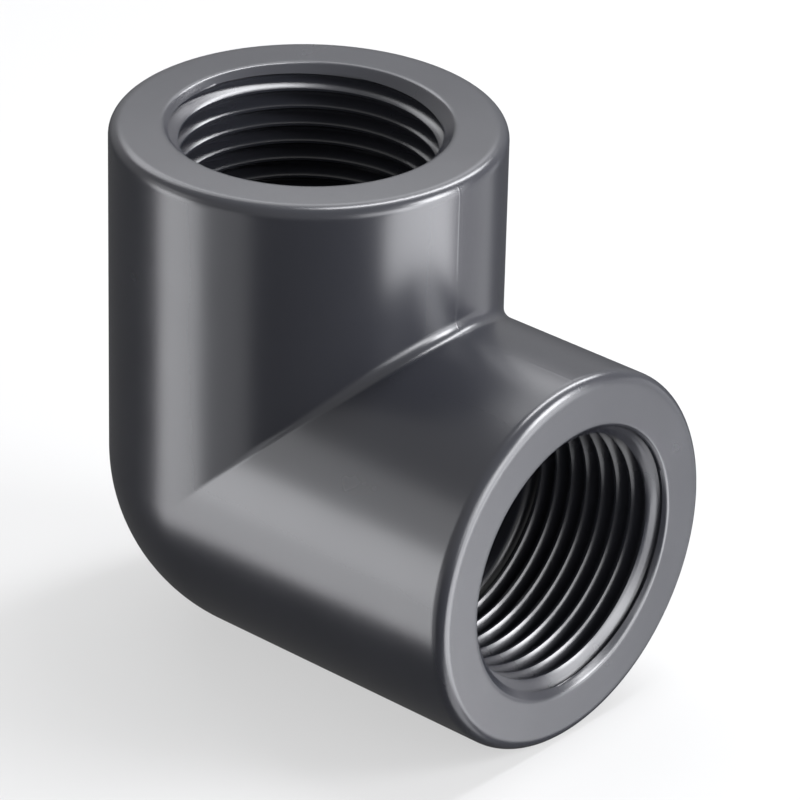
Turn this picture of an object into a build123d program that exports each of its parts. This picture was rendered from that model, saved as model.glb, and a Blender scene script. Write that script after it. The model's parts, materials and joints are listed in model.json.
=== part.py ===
import os
from math import radians, tan

from build123d import *

os.makedirs("parts", exist_ok=True)

# Threaded 90 degree elbow for 3/4 inch pipe, moulded in one piece, in millimetres.
# The origin is the centre of the side port's rim face. +X points out of the side
# port and +Z out of the top port, and both axes lie in the plane Y = 0.

# Outer body
centre_to_end = 33.5  # from the crossing of the two axes to each rim face
wall = 5.28  # outside the thread's major diameter
rim_rounding = 1.2  # outer edge of each rim
crotch_rounding = 1.2  # outer corner between the legs

# Sockets for the parallel pipe thread Rp 3/4. Each bore is the thread's minor
# diameter, and the thread is cut outwards from it to the major diameter.
thread_major = 26.441
thread_minor = 24.117
thread_length = 16.0  # of the bore, from the mouth's countersink to the shoulder
mouth_clearance = 0.28  # of the countersink's rim outside the major diameter
mouth_angle = 45.0  # of the countersink, from the axis

# Waterway round the corner, between the two shoulders
waterway_diameter = 20.0

# Sizes that follow
body_radius = thread_major / 2 + wall
bore_radius = thread_minor / 2
waterway_radius = waterway_diameter / 2
mouth_radius = thread_major / 2 + mouth_clearance
mouth_depth = (mouth_radius - bore_radius) / tan(radians(mouth_angle))
shoulder_depth = mouth_depth + thread_length
core_length = centre_to_end + waterway_radius  # to the far corner of the mitre

# The two legs are mirror images in the mitre, whose normal points into the side leg
side_port = Plane(origin=(0, 0, 0), x_dir=(0, 0, 1), z_dir=(1, 0, 0))
crossing = (-centre_to_end, 0, 0)
mitre = Plane(origin=crossing, x_dir=(0, 1, 0), z_dir=(1, 0, -1))

with BuildPart() as passage:
    # The space inside, left by two core pins of the mould that meet end to end in the
    # mitre: half a section of the side port's countersink, bore and waterway, turned
    # about its axis and cut off slantwise, then the same for the top port
    with BuildSketch(Plane.XZ):
        with BuildLine():
            Polyline(
                (0, 0),
                (0, mouth_radius),
                (-mouth_depth, bore_radius),
                (-shoulder_depth, bore_radius),
                (-shoulder_depth, waterway_radius),
                (-core_length, waterway_radius),
                (-core_length, 0),
                close=True,
            )
        make_face()
    revolve(axis=Axis.X)
    split(bisect_by=mitre, keep=Keep.TOP)
    mirror(about=mitre)

with BuildPart() as elbow_body:
    # Each leg is a plain round bar with a rounded rim. The legs meet in a mitre, which
    # runs out on the ball of the heel, and its blend narrows to nothing there.
    with BuildSketch(side_port):
        Circle(body_radius)
    extrude(amount=-centre_to_end)
    side_face = elbow_body.faces().sort_by(Axis.X)[-1]
    fillet(side_face.edges(), rim_rounding)
    mirror(about=mitre)
    with Locations(crossing):
        Sphere(body_radius)
    fillet(elbow_body.edges().filter_by(GeomType.ELLIPSE), crotch_rounding)
    add(passage.part, mode=Mode.SUBTRACT)

elbow_body.part.label = "elbow_body"
export_step(elbow_body.part, "parts/elbow_body.step")
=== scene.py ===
import json
import math

import bmesh
import bpy
import numpy as np
from mathutils import Matrix, Vector

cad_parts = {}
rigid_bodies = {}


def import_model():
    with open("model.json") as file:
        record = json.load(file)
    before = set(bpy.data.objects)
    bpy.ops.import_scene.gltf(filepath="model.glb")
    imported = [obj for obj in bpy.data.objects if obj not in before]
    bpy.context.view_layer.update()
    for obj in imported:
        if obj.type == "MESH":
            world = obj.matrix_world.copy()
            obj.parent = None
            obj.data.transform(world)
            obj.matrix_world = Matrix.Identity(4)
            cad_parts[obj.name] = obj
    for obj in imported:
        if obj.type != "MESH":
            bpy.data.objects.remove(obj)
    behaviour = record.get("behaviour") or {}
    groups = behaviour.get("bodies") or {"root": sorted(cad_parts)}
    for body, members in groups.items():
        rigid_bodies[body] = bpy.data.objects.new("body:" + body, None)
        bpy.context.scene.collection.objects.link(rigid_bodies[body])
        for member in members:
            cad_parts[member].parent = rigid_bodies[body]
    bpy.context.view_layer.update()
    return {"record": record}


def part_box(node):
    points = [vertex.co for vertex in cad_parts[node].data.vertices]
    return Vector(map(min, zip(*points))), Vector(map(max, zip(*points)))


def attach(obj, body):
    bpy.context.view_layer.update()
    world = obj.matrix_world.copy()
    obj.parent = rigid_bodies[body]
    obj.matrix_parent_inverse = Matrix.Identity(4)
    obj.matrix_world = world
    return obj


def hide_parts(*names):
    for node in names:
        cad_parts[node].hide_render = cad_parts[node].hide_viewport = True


# Threaded pipe elbow, one moulding in dark grey PVC, seen from above its right-hand side.
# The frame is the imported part's own: metres, +X out of the side port, +Z out of the top port.

mm = 0.001

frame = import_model()


def addNode(tree, kind, inputs=None, **settings):
    # an input, by its name or number, takes a value or is linked to another node's socket
    node = tree.nodes.new(kind)
    for name, value in settings.items():
        setattr(node, name, value)
    for key, value in (inputs or {}).items():
        if isinstance(value, bpy.types.NodeSocket):
            tree.links.new(value, node.inputs[key])
        else:
            node.inputs[key].default_value = value
    return node


def linearColour(hexText):
    channels = [int(hexText[i : i + 2], 16) / 255 for i in (1, 3, 5)]
    linear = [c / 12.92 if c <= 0.04045 else ((c + 0.055) / 1.055) ** 2.4 for c in channels]
    return (*linear, 1.0)


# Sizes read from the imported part
bodyLow, bodyHigh = (np.array(corner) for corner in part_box("elbow_body"))
mounts = {mount["name"]: mount for mount in frame["record"]["mounts"]}
bodyRadius = (bodyHigh[1] - bodyLow[1]) / 2
crossing = np.array([bodyLow[0] + bodyRadius, 0.0, bodyLow[2] + bodyRadius])
centreToEnd = bodyHigh[0] - crossing[0]
boreRadius = mounts["side_port"]["dims"]["r_mm"] * mm
mouthDepth = bodyHigh[0] - mounts["side_port"]["pos_m"][0]
shoulderDepth = mouthDepth + mounts["side_port"]["dims"]["length_mm"] * mm

# The moulded body, lengths in mm
elbow = {
    "columns": 192,  # points round each leg, a multiple of 4
    "rimRounding": 1.2,
    "rimSteps": 10,
    "crotchRounding": 1.2,
    "crotchSteps": 12,
    "heelSteps": 44,
    "legRows": 12,
    "waterwayRadius": 10.0,
    "waterwayRows": 6,
    "mouthEdge": 0.22,  # how far the mouth's edge is eased, along both of its sides
    "shoulderEdge": 0.25,
    "easeSteps": 4,
    "supportGap": 0.12,  # between a rounding and the row that holds the flat beside it
    "sharpAngle": 38.0,  # degrees, past which an edge is drawn sharp
    "weld": 0.0002,  # points this close become one
    "sliver": 0.0001,  # edges this short are closed up
}

columns = elbow["columns"]
turn = np.arange(columns) * 2 * math.pi / columns  # angle from the crotch side round towards +Y
angleSlack = 1e-6  # rad, so that rounding drops no column at the end of an arc
leastSpread = 1e-4  # rad between two faces, under which a blend between them has no width


def quarterTurn(steps):
    return [math.pi / 2 * i / steps for i in range(steps + 1)]


def easedCorner(before, corner, after, size, steps):
    # a quadratic curve from the point size before the corner to the point size after it
    before, corner, after = (np.array(p, float) for p in (before, corner, after))
    start = corner + (before - corner) / np.linalg.norm(before - corner) * size
    end = corner + (after - corner) / np.linalg.norm(after - corner) * size
    shares = np.linspace(0, 1, steps + 1)
    return [tuple((1 - s) ** 2 * start + 2 * s * (1 - s) * corner + s * s * end) for s in shares]


def ring(radius, height):
    # points on the upright leg, at a radius and height from the crossing that may change round it
    radius, height = (np.broadcast_to(v, turn.shape) for v in (radius, height))
    return np.stack([radius * np.cos(turn), radius * np.sin(turn), height], axis=1)


def swapLegs(points):
    # the mirror image in the mitre: upright leg to side leg
    return points[..., [2, 1, 0]]


def addGrid(mesh, rows, closed=True, outside=0.0):
    # outside marks what the mould's two halves form, as one number or one for each row
    layer = mesh.verts.layers.float["outside"]
    verts = [[mesh.verts.new(crossing + p) for p in row] for row in rows]
    for row, mark in zip(verts, np.broadcast_to(outside, len(rows))):
        for vert in row:
            vert[layer] = float(mark)
    count = len(rows[0])
    for lower, upper in zip(verts, verts[1:]):
        for i in range(count if closed else count - 1):
            j = (i + 1) % count
            mesh.faces.new((lower[i], lower[j], upper[j], upper[i]))


def makeLegRows():
    # from the mouth's edge, over the rim and down to the corner blend
    end, body = centreToEnd, bodyRadius
    rim, blend = elbow["rimRounding"] * mm, elbow["crotchRounding"] * mm
    edge, gap = elbow["mouthEdge"] * mm, elbow["supportGap"] * mm
    mouthRadius = boreRadius + mouthDepth
    downMouth = (boreRadius, end - mouthDepth)
    mouth = easedCorner(downMouth, (mouthRadius, end), (body, end), edge, elbow["easeSteps"])
    rows = [ring(radius, height) for radius, height in mouth]
    rows += [ring(mouthRadius + edge + gap, end), ring(body - rim - gap, end)]
    rows += [
        ring(body - rim + rim * math.sin(a), end - rim + rim * math.cos(a))
        for a in quarterTurn(elbow["rimSteps"])
    ]
    top = end - rim - gap
    foot = np.where(np.cos(turn) > 0, (body + blend) * np.cos(turn), 0.0)
    heights = [foot + gap + (top - foot - gap) * s for s in np.linspace(1, 0, elbow["legRows"])]
    rows += [ring(body, height) for height in heights + [foot]]
    return rows


def makeCrotchRows():
    # a ball of the blend's radius rolled along the mitre, which shrinks to nothing at each side
    blend = elbow["crotchRounding"] * mm
    side = turn[turn <= math.pi / 2 + angleSlack]
    angles = np.concatenate([-side[:0:-1], side])
    out, across, none = np.cos(angles), np.sin(angles), np.zeros(len(angles))
    centre = (bodyRadius + blend) * np.stack([out, across, out], axis=1)
    toUpright = -np.stack([out, across, none], axis=1)
    toSide = -np.stack([none, across, out], axis=1)
    spread = np.arccos(np.clip((toUpright * toSide).sum(1), -1, 1))
    wide = spread > leastSpread
    spread = np.where(wide, spread, 1.0)
    rows = []
    for s in np.linspace(0, 1, elbow["crotchSteps"] + 1):
        upright = np.where(wide, np.sin((1 - s) * spread) / np.sin(spread), 1 - s)
        level = np.where(wide, np.sin(s * spread) / np.sin(spread), s)
        rows.append(centre + blend * (upright[:, None] * toUpright + level[:, None] * toSide))
    return rows


def makeHeelRows():
    # the ball of the heel, from the foot of one leg to the foot of the other
    angles = turn[(turn >= math.pi / 2 - angleSlack) & (turn <= 3 * math.pi / 2 + angleSlack)]
    out, across = np.cos(angles), np.sin(angles)
    return [
        bodyRadius * np.stack([out * math.cos(a), across, out * math.sin(a)], axis=1)
        for a in quarterTurn(elbow["heelSteps"])
    ]


def makeWaterwayRows():
    # from the end of the socket's bore, over the shoulder and down to the mitre
    shoulder = centreToEnd - shoulderDepth
    waterway = elbow["waterwayRadius"] * mm
    edge, gap = elbow["shoulderEdge"] * mm, elbow["supportGap"] * mm
    lip = easedCorner(
        (boreRadius, shoulder), (waterway, shoulder), (waterway, 0), edge, elbow["easeSteps"]
    )
    rows = [ring(boreRadius, shoulder), ring(boreRadius - gap, shoulder)]
    rows += [ring(radius, height) for radius, height in lip]
    top = shoulder - edge - gap
    foot = waterway * np.cos(turn)
    heights = [foot + (top - foot) * s for s in np.linspace(1, 0, elbow["waterwayRows"])]
    rows += [ring(waterway, height) for height in heights]
    return rows


# The pipe thread Rp 3/4, right hand, in both sockets, lengths in mm
thread = {
    "pitch": 25.4 / 14,
    "depth": 1.162,
    "flankAngle": 27.5,  # degrees, from a plane across the axis
    "crestEase": 0.16,  # rounding of crests and roots
    "runOut": 3.0,  # from the shoulder to where the groove begins to rise
    "plainEnd": 0.9,  # left plain at the shoulder
    "startTurn": 0.5,  # of a turn, from the crotch side to where a crest meets the mouth
    "mouthEase": 0.06,  # where the groove breaks through the countersink
    "rowsPerPitch": 16,
}


def buildThreadTree(material):
    # A helix of rows on a grid: each row keeps its place in the thread's section and runs
    # round the bore at the thread's pitch, held between the mouth and the shoulder
    tree = bpy.data.node_groups.new("threadedSocket", "GeometryNodeTree")
    tree.is_modifier = True
    interface = tree.interface
    interface.new_socket("Geometry", in_out="OUTPUT", socket_type="NodeSocketGeometry")
    counts = ("Columns", "Rows Per Pitch")
    measures = (
        "Pitch", "Thread Depth", "Flank Slope", "Crest Ease", "Bore Radius", "Mouth Radius",
        "Mouth Ease", "Start Depth", "End Depth", "Run Out", "Plain End", "Start Turn",
    )
    for name in counts:
        interface.new_socket(name, in_out="INPUT", socket_type="NodeSocketInt")
    for name in measures:
        interface.new_socket(name, in_out="INPUT", socket_type="NodeSocketFloat")

    value = dict(addNode(tree, "NodeGroupInput").outputs.items())
    flat = addNode(tree, "GeometryNodeInputPosition").outputs[0]
    place = addNode(tree, "ShaderNodeSeparateXYZ", {0: flat})
    value["gridX"], value["gridY"] = place.outputs["X"], place.outputs["Y"]
    fade = addNode(  # from 1 to 0, over depths that the steps give it
        tree,
        "ShaderNodeMapRange",
        {"To Min": 1.0, "To Max": 0.0},
        interpolation_type="SMOOTHSTEP",
    )
    value["fade"] = fade.outputs[0]

    # each step is a name, an operation and the values that it works on
    steps = (
        # rows enough for the socket's depth and one turn more, since each row climbs a pitch
        ("span", "SUBTRACT", "End Depth", "Start Depth"),
        ("pitches", "DIVIDE", "span", "Pitch"),
        ("oneMore", "ADD", "pitches", 1.0),
        ("turns", "CEIL", "oneMore"),
        ("rowCount", "MULTIPLY", "turns", "Rows Per Pitch"),
        ("gridRows", "ADD", "rowCount", 1.0),
        ("gridColumns", "ADD", "Columns", 1.0),
        # how far round the bore, in turns, and how deep below the mouth
        ("around", "ADD", "gridX", 0.5),
        ("climb", "MULTIPLY", "around", "Pitch"),
        ("share", "ADD", "gridY", 0.5),
        ("along", "MULTIPLY", "share", "turns"),
        ("unrolled", "MULTIPLY", "along", "Pitch"),
        ("loose", "SUBTRACT", "unrolled", "climb"),
        ("below", "MAXIMUM", "loose", 0.0),
        ("reach", "ADD", "below", "Start Depth"),
        ("depth", "MINIMUM", "reach", "End Depth"),
        # the thread's section: the distance from the nearest crest, in pitches, then a flank
        # between eased crest and root
        ("fromStart", "SUBTRACT", "depth", "Start Depth"),
        ("climbed", "ADD", "fromStart", "climb"),
        ("crests", "DIVIDE", "climbed", "Pitch"),
        ("phase", "ADD", "crests", "Start Turn"),
        ("fromCrest", "PINGPONG", "phase", 0.5),
        ("fromMiddle", "SUBTRACT", "fromCrest", 0.25),
        ("pitchRise", "MULTIPLY", "Pitch", "Flank Slope"),
        ("rise", "MULTIPLY", "fromMiddle", "pitchRise"),
        ("halfDepth", "MULTIPLY", "Thread Depth", 0.5),
        ("flank", "ADD", "rise", "halfDepth"),
        ("offCrest", "SMOOTH_MAX", "flank", 0.0, "Crest Ease"),
        ("groove", "SMOOTH_MIN", "offCrest", "Thread Depth", "Crest Ease"),
        # the groove rises out of the wall before the shoulder and breaks through the countersink
        ("fadeFrom", "SUBTRACT", "End Depth", "Run Out"),
        ("fadeTo", "SUBTRACT", "End Depth", "Plain End"),
        ("cut", "MULTIPLY", "groove", "fade"),
        ("wall", "ADD", "Bore Radius", "cut"),
        ("countersink", "SUBTRACT", "Mouth Radius", "depth"),
        ("radius", "SMOOTH_MAX", "wall", "countersink", "Mouth Ease"),
        # the point in space, with the socket's axis on Z
        ("angle", "MULTIPLY", "around", 2 * math.pi),
        ("cosine", "COSINE", "angle"),
        ("sine", "SINE", "angle"),
        ("x", "MULTIPLY", "radius", "cosine"),
        ("y", "MULTIPLY", "radius", "sine"),
        ("z", "MULTIPLY", "depth", -1.0),
    )
    for name, operation, *terms in steps:
        inputs = {i: value[t] if isinstance(t, str) else t for i, t in enumerate(terms)}
        value[name] = addNode(tree, "ShaderNodeMath", inputs, operation=operation).outputs[0]
    for socket, name in (("Value", "depth"), ("From Min", "fadeFrom"), ("From Max", "fadeTo")):
        tree.links.new(value[name], fade.inputs[socket])

    points = {"Vertices X": value["gridColumns"], "Vertices Y": value["gridRows"]}
    grid = addNode(tree, "GeometryNodeMeshGrid", {"Size X": 1.0, "Size Y": 1.0, **points})
    point = addNode(
        tree, "ShaderNodeCombineXYZ", {"X": value["x"], "Y": value["y"], "Z": value["z"]}
    )
    shaped = addNode(
        tree,
        "GeometryNodeSetPosition",
        {"Geometry": grid.outputs["Mesh"], "Position": point.outputs[0]},
    )
    joined = addNode(
        tree,
        "GeometryNodeMergeByDistance",
        {"Geometry": shaped.outputs[0], "Distance": elbow["sliver"] * mm},
    )
    real = addNode(tree, "GeometryNodeRealizeInstances", {"Geometry": joined.outputs[0]})
    finished = addNode(
        tree, "GeometryNodeSetMaterial", {"Geometry": real.outputs[0], "Material": material}
    )
    addNode(tree, "NodeGroupOutput", {0: finished.outputs[0]})
    return tree


def makeThreadedSocket(material):
    # one socket, its axis on Z, its mouth at the origin and its crotch side towards +X
    holder = bpy.data.objects.new("socketHolder", bpy.data.meshes.new("socketHolder"))
    bpy.context.scene.collection.objects.link(holder)
    modifier = holder.modifiers.new("thread", "NODES")
    modifier.node_group = buildThreadTree(material)
    values = {
        "Columns": columns,
        "Rows Per Pitch": thread["rowsPerPitch"],
        "Pitch": thread["pitch"] * mm,
        "Thread Depth": thread["depth"] * mm,
        "Flank Slope": 1 / math.tan(math.radians(thread["flankAngle"])),
        "Crest Ease": thread["crestEase"] * mm,
        "Bore Radius": boreRadius,
        "Mouth Radius": boreRadius + mouthDepth,
        "Mouth Ease": thread["mouthEase"] * mm,
        "Start Depth": elbow["mouthEdge"] * mm / math.sqrt(2),  # where the mouth's eased edge ends
        "End Depth": shoulderDepth,
        "Run Out": thread["runOut"] * mm,
        "Plain End": thread["plainEnd"] * mm,
        "Start Turn": thread["startTurn"],
    }
    for item in modifier.node_group.interface.items_tree:
        if item.in_out == "INPUT":
            modifier[item.identifier] = values[item.name]
    bpy.context.view_layer.update()
    evaluated = holder.evaluated_get(bpy.context.evaluated_depsgraph_get())
    socket = bpy.data.meshes.new_from_object(evaluated)
    holder.modifiers.remove(modifier)
    bpy.data.objects.remove(holder)
    pitches = (shoulderDepth - mouthDepth) / (thread["pitch"] * mm)
    print(f"threaded socket: {pitches:.1f} pitches deep, {len(socket.vertices)} points")
    return socket


def makeElbow(material):
    shell = bmesh.new()
    shell.verts.layers.float.new("outside")
    legRows, waterRows = makeLegRows(), makeWaterwayRows()
    depths = np.array([centreToEnd - row[:, 2].max() for row in legRows])
    onBody = np.clip(depths / (elbow["rimRounding"] * mm), 0, 1)  # fades in over the rim's rounding
    for rows, outside in ((legRows, onBody), (waterRows, 0.0)):
        addGrid(shell, rows, outside=outside)
        addGrid(shell, [swapLegs(row) for row in rows], outside=outside)
    addGrid(shell, makeCrotchRows(), closed=False, outside=1.0)
    addGrid(shell, makeHeelRows(), closed=False, outside=1.0)

    # one socket serves both legs: half a turn about the line midway between them swaps them
    socket = makeThreadedSocket(material)
    top = Matrix.Translation(Vector(crossing) + Vector((0, 0, centreToEnd)))
    lay = Matrix(((0, 0, 1, 0), (0, -1, 0, 0), (1, 0, 0, 0), (0, 0, 0, 1)))
    side = Matrix.Translation(Vector(crossing) + Vector((centreToEnd, 0, 0))) @ lay
    for place in (top, side):
        placed = socket.copy()
        placed.transform(place)
        shell.from_mesh(placed)
        bpy.data.meshes.remove(placed)

    bmesh.ops.remove_doubles(shell, verts=shell.verts, dist=elbow["weld"] * mm)
    bmesh.ops.dissolve_degenerate(shell, edges=shell.edges, dist=elbow["sliver"] * mm)
    bmesh.ops.recalc_face_normals(shell, faces=shell.faces)
    openEdges = sum(1 for edge in shell.edges if len(edge.link_faces) != 2)
    sharp = math.radians(elbow["sharpAngle"])
    for edge in shell.edges:
        edge.smooth = len(edge.link_faces) == 2 and edge.calc_face_angle() < sharp
    for face in shell.faces:
        face.smooth = True
        face.material_index = 0
    mesh = bpy.data.meshes.new("elbowBody")
    shell.to_mesh(mesh)
    shell.free()
    mesh.materials.clear()
    mesh.materials.append(material)
    piece = bpy.data.objects.new("elbowBody", mesh)
    bpy.context.scene.collection.objects.link(piece)
    triangles = sum(len(p.vertices) - 2 for p in mesh.polygons)
    print(f"elbow body: {len(mesh.vertices)} points, {triangles} triangles, {openEdges} open edges")
    return piece


# Dark grey PVC-U as it leaves the mould: semi-gloss, with the faint texture of the steel
# and the line where the mould's halves met. Lengths in mm.
pvcFinish = {
    "colour": "#24252a",
    "roughness": (0.23, 0.29),
    "ior": 1.54,  # of PVC
    "cloudShade": 0.06,  # how far the grey drifts
    "cloudSize": 9.0,
    "cloudDetail": 3.0,
    "rippleSize": 5.0,  # slow waves where the melt cooled
    "rippleDetail": 1.0,
    "rippleHeight": 0.010,
    "grainSize": 0.55,  # coarser than the real texture, which is too fine to show
    "grainDetail": 2.0,
    "grainHeight": 0.0022,
    "seamWidth": 0.15,  # to each side
    "seamHeight": 0.010,
}


def makeMouldedPvc():
    finish = pvcFinish
    material = bpy.data.materials.new("mouldedPvc")
    material.use_nodes = True
    tree = material.node_tree
    tree.nodes.clear()
    place = addNode(tree, "ShaderNodeTexCoord").outputs["Object"]

    pattern = {}
    for name in ("cloud", "ripple", "grain"):
        scale, detail = 1 / (finish[name + "Size"] * mm), finish[name + "Detail"]
        pattern[name] = addNode(
            tree, "ShaderNodeTexNoise", {"Vector": place, "Scale": scale, "Detail": detail}
        ).outputs[0]

    # the clouds carry the colour and the gloss
    base, shade = linearColour(finish["colour"])[:3], finish["cloudShade"]
    dark, light = ([c * share for c in base] + [1.0] for share in (1 - shade, 1 + shade))
    grey = addNode(
        tree, "ShaderNodeMix", {0: pattern["cloud"], 6: dark, 7: light}, data_type="RGBA"
    )
    low, high = finish["roughness"]
    gloss = addNode(
        tree, "ShaderNodeMapRange", {"Value": pattern["cloud"], "To Min": low, "To Max": high}
    )

    # the seam lies in the plane of both axes, on the outside only
    across = addNode(tree, "ShaderNodeSeparateXYZ", {0: place}).outputs["Y"]
    offSeam = addNode(tree, "ShaderNodeMath", {0: across}, operation="ABSOLUTE").outputs[0]
    ridge = addNode(
        tree,
        "ShaderNodeMapRange",
        {"Value": offSeam, "From Max": finish["seamWidth"] * mm, "To Min": 1.0, "To Max": 0.0},
        interpolation_type="SMOOTHSTEP",
    )
    outside = addNode(tree, "ShaderNodeAttribute", attribute_name="outside").outputs["Fac"]
    pattern["seam"] = addNode(
        tree, "ShaderNodeMath", {0: ridge.outputs[0], 1: outside}, operation="MULTIPLY"
    ).outputs[0]

    # each bump is raised on the one before
    raised = {}
    for name in ("ripple", "grain", "seam"):
        height = {"Height": pattern[name], "Strength": 1.0, "Distance": finish[name + "Height"] * mm}
        bump = addNode(tree, "ShaderNodeBump", {**height, **raised})
        raised = {"Normal": bump.outputs[0]}
    shader = addNode(
        tree,
        "ShaderNodeBsdfPrincipled",
        {
            "Base Color": grey.outputs[2],
            "Roughness": gloss.outputs[0],
            "IOR": finish["ior"],
            **raised,
        },
    )
    addNode(tree, "ShaderNodeOutputMaterial", {0: shader.outputs[0]})
    print(f"moulded PVC: {finish['colour']}, roughness {low} to {high}")
    return material


def direction(azimuth, elevation):
    # from the object, in degrees: round from -Y towards +X, and up from level
    around, raised = math.radians(azimuth), math.radians(elevation)
    level = math.cos(raised)
    return Vector((math.sin(around) * level, -math.cos(around) * level, math.sin(raised)))


# Camera fitted to the outline in the photograph, angles in degrees, lengths in body radii
view = {
    "azimuth": 41.1,
    "elevation": 27.7,
    "roll": 1.4,
    "distance": 26.7,
    "middle": 0.6,  # out along both legs
    "aim": (0.031, -0.116),  # from the middle, to the right and up
    "lens": 239.6,  # mm
    "sensor": 36.0,  # mm wide
    "nearest": 0.01,  # m, from which the camera sees
}


def makeCamera():
    radius = float(bodyRadius)
    back = direction(view["azimuth"], view["elevation"])
    around, roll = math.radians(view["azimuth"]), math.radians(view["roll"])
    level = Vector((math.cos(around), math.sin(around), 0))
    right = math.cos(roll) * level + math.sin(roll) * back.cross(level)
    up = back.cross(right)
    middle = Vector(crossing) + Vector((view["middle"], 0, view["middle"])) * radius
    aim = middle + (view["aim"][0] * right + view["aim"][1] * up) * radius
    eye = middle + back * (view["distance"] * radius)
    away = (eye - aim).normalized()
    sideways = (right - away * right.dot(away)).normalized()
    turned = Matrix((sideways, away.cross(sideways), away)).transposed()
    data = bpy.data.cameras.new("camera")
    data.lens = view["lens"]
    data.sensor_width = view["sensor"]
    data.clip_start = view["nearest"]
    camera = bpy.data.objects.new("camera", data)
    camera.matrix_world = Matrix.Translation(eye) @ turned.to_4x4()
    bpy.context.scene.collection.objects.link(camera)
    bpy.context.scene.camera = camera
    print(f"camera: {view['lens']} mm lens, {(eye - middle).length:.2f} m from the elbow")


# Each softbox stands off the point that it faces, at an azimuth from the camera's, to the
# right, and an elevation, in degrees. Distances and sizes in m. A radiance of 1 is white.
softboxes = {
    "leftBox": {"at": (-77, -14), "size": (0.22, 0.36), "radiance": 5.1},
    "leftTop": {"at": (-80, 8), "size": (0.22, 0.40), "radiance": 1.9},
    "leftFill": {"at": (-48, -16), "size": (0.24, 0.34), "radiance": 1.3},
    "leftHigh": {"at": (-140, 44), "distance": 0.50, "size": (0.18, 0.18), "radiance": 4.0},
    "portFill": {"at": (46, 10), "size": (0.26, 0.22), "radiance": 5.0},
    "portLow": {"at": (50, -52), "distance": 0.40, "size": (0.22, 0.18), "radiance": 2.6},
    "rightBox": {"at": (69, -10), "size": (0.36, 0.50), "radiance": 8.0},
    "rightWing": {"at": (114, -18), "size": (0.26, 0.36), "radiance": 1.2},
    "rimSpot": {"at": (77, 26), "size": (0.16, 0.16), "radiance": 27.0},
    "arcStrip": {"at": (131, 60), "distance": 0.50, "size": (0.10, 0.48), "radiance": 23.0},
    "backBox": {"at": (180, 38), "distance": 0.50, "size": (0.50, 0.12), "radiance": 1.2},
    "rimStrip": {
        "at": (180, 50),
        "distance": 0.13,
        "faces": (0.0, 1.8),  # the upright leg's rim
        "size": (0.12, 0.09),
        "radiance": 2.2,
    },
}
usualBox = {
    "distance": 0.45,
    "faces": (0.3, 0.3),  # out along the side leg and the upright leg, in body radii
    "tint": (0.965, 0.97, 1.0),
}


def makeLamps():
    for name, special in softboxes.items():
        box = {**usualBox, **special}
        aside, above = box["faces"]
        target = Vector(crossing) + Vector((aside, 0, above)) * float(bodyRadius)
        azimuth, elevation = box["at"]
        out = direction(view["azimuth"] + azimuth, elevation)
        width, height = box["size"]
        data = bpy.data.lights.new(name, "AREA")
        data.shape = "RECTANGLE"
        data.size, data.size_y = width, height
        data.energy = box["radiance"] * math.pi * width * height
        data.color = box["tint"]
        light = bpy.data.objects.new(name, data)
        light.location = target + out * box["distance"]
        light.rotation_euler = out.to_track_quat("Z", "Y").to_euler()
        bpy.context.scene.collection.objects.link(light)
    print(f"lamps: {len(softboxes)} softboxes")


# A sheet of pale paper under the elbow
floorPaper = {
    "colour": "#acacac",
    "glow": 0.55,  # share of plain white in what the camera sees of the floor
    "size": 3.0,  # m
}


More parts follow.
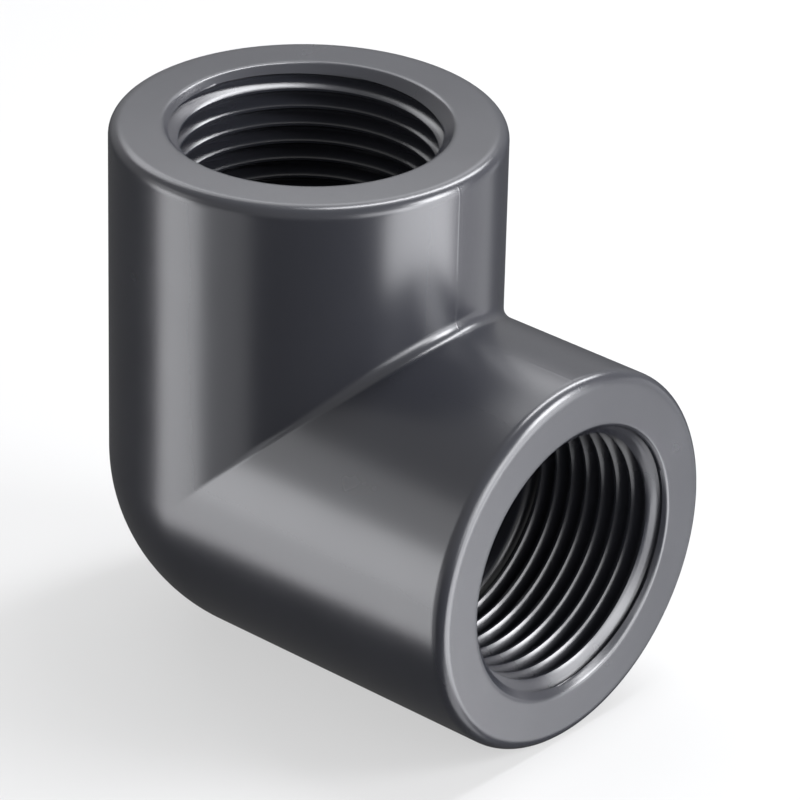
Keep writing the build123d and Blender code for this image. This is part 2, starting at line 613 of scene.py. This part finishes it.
def makeFloor():
    half, level = floorPaper["size"] / 2, float(bodyLow[2])
    corners = ((-half, -half), (half, -half), (half, half), (-half, half))
    mesh = bpy.data.meshes.new("floor")
    mesh.from_pydata([(x, y, level) for x, y in corners], [], [(0, 1, 2, 3)])
    paper = bpy.data.materials.new("floorPaper")
    paper.use_nodes = True
    tree = paper.node_tree
    tree.nodes.clear()
    matt = addNode(tree, "ShaderNodeBsdfDiffuse", {"Color": linearColour(floorPaper["colour"])})
    white = addNode(tree, "ShaderNodeEmission", {"Color": (1, 1, 1, 1), "Strength": 1.0})
    path = addNode(tree, "ShaderNodeLightPath").outputs
    seen = path["Is Camera Ray"]
    for ray in ("Is Glossy Ray", "Is Transmission Ray"):
        seen = addNode(tree, "ShaderNodeMath", {0: seen, 1: path[ray]}, operation="MAXIMUM").outputs[0]
    share = addNode(tree, "ShaderNodeMath", {0: seen, 1: floorPaper["glow"]}, operation="MULTIPLY")
    mixed = addNode(
        tree,
        "ShaderNodeMixShader",
        {0: share.outputs[0], 1: matt.outputs[0], 2: white.outputs[0]},
    )
    addNode(tree, "ShaderNodeOutputMaterial", {0: mixed.outputs[0]})
    mesh.materials.append(paper)
    floor = bpy.data.objects.new("floor", mesh)
    bpy.context.scene.collection.objects.link(floor)
    floor.visible_glossy = False
    print(f"floor: {floorPaper['colour']}, {floorPaper['size']} m wide")


# The studio's walls and ceiling, as a world that is brighter above than below
walls = {
    "lowLevel": 0.12,
    "highLevel": 0.62,
    "band": 0.3,  # above and below level, over which one passes into the other
}


def makeWalls():
    world = bpy.data.worlds.new("studio")
    world.use_nodes = True
    bpy.context.scene.world = world
    tree = world.node_tree
    tree.nodes.clear()
    towards = addNode(tree, "ShaderNodeTexCoord").outputs["Generated"]
    upward = addNode(tree, "ShaderNodeSeparateXYZ", {0: towards}).outputs["Z"]
    shade = addNode(
        tree,
        "ShaderNodeMapRange",
        {
            "Value": upward,
            "From Min": -walls["band"],
            "From Max": walls["band"],
            "To Min": walls["lowLevel"],
            "To Max": walls["highLevel"],
        },
        interpolation_type="SMOOTHSTEP",
    )
    sky = addNode(
        tree, "ShaderNodeBackground", {"Color": (1, 1, 1, 1), "Strength": shade.outputs[0]}
    )
    addNode(tree, "ShaderNodeOutputWorld", {0: sky.outputs[0]})
    print(f"walls: {walls['lowLevel']} from below to {walls['highLevel']} from above")


pvc = makeMouldedPvc()
elbowBody = makeElbow(pvc)
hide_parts("elbow_body")
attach(elbowBody, "root")
makeCamera()
makeLamps()
makeFloor()
makeWalls()
bpy.context.scene.view_settings.view_transform = "Standard"
